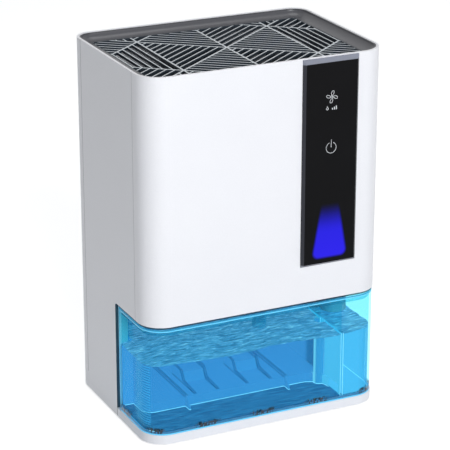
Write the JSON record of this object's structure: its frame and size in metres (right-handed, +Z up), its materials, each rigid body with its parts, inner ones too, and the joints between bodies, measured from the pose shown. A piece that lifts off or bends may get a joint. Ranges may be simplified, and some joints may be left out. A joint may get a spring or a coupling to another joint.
{
  "type": "dehumidifier",
  "caption": "Rounded countertop dehumidifier with a slide-out clear water tank below, a recessed outlet grille on top and a raised touch panel on the front.",
  "frame": {"origin": "on the floor, under the middle of the object's box", "axes": "+Z up, the control panel and the tank face -Y, +X is towards the control panel's side, on the right seen from the front"},
  "size_m": [0.232, 0.1686, 0.34],
  "materials": {
    "white_shell": "satin injection-moulded ABS, white",
    "white_frame": "satin injection-moulded ABS, white",
    "dark_trim": "fine-textured dark grey ABS",
    "grille_plastic": "satin light grey ABS",
    "black_panel": "polished black acrylic with printed white signs",
    "lens_blue": "frosted light diffuser",
    "tank_clear": "clear blue-tinted AS plastic",
    "lid_clear": "clear blue-tinted AS plastic",
    "float_foam": "closed white foam",
    "ferrite": "sintered ferrite",
    "fan_black": "black glass-filled PBT",
    "steel": "ground steel",
    "bronze": "sintered bronze",
    "fin_aluminium": "extruded aluminium",
    "module_ceramic": "white alumina",
    "foam_black": "closed-cell foam",
    "inner_plastic": "moulded ABS, off-white",
    "plate_dark": "moulded ABS, dark",
    "board_green": "solder-masked circuit board",
    "inlet_black": "black nylon",
    "foot_rubber": "moulded rubber",
    "lead_black": "PVC insulation",
    "lead_red": "PVC insulation"
  },
  "bodies": {
    "body": {"front_shell": "white_shell", "mid_frame": "white_frame", "rear_cover": "white_shell", "base_tray": "white_shell", "rubber_feet": "foot_rubber", "top_trim": "dark_trim", "outlet_grille": "grille_plastic", "control_panel": "black_panel", "light_lens": "lens_blue", "control_board": "board_green", "touch_springs": "steel", "fan_frame": "fan_black", "fan_bearing": "bronze", "fan_plate": "plate_dark", "hot_sink": "fin_aluminium", "cold_sink": "fin_aluminium", "thermoelectric_module": "module_ceramic", "module_gasket": "foam_black", "thermal_baffle": "inner_plastic", "drip_tray": "inner_plastic", "power_board": "board_green", "power_inlet": "inlet_black", "tank_sensor": "board_green", "rear_screws": "steel", "base_screws": "steel", "shell_screws": "steel", "plate_screws": "steel", "fan_screws": "steel", "trim_screws": "steel", "sink_screws": "steel", "board_screws": "steel", "fan_lead": "lead_black", "module_leads": "lead_red", "control_lead": "lead_black", "inlet_lead": "lead_black", "sensor_lead": "lead_black"},
    "water_tank": {"tank": "tank_clear", "tank_lid": "lid_clear"},
    "float": {"tank_float": "float_foam", "float_magnet": "ferrite"},
    "rotor": {"fan_rotor": "fan_black", "fan_shaft": "steel"}
  },
  "joints": [
    {"name": "tank_slide", "type": "slide", "parent": "body", "child": "water_tank", "axis": [0, -1, 0], "range_m": [0, 0.125]},
    {"name": "float_rise", "type": "slide", "parent": "water_tank", "child": "float", "axis": [0, 0, 1], "range_m": [0, 0.012]},
    {"name": "fan_spin", "type": "hinge", "parent": "body", "child": "rotor", "pos_m": [0, 0.00175, 0.3084], "axis": [0, 0, 1], "continuous": true}
  ]
}
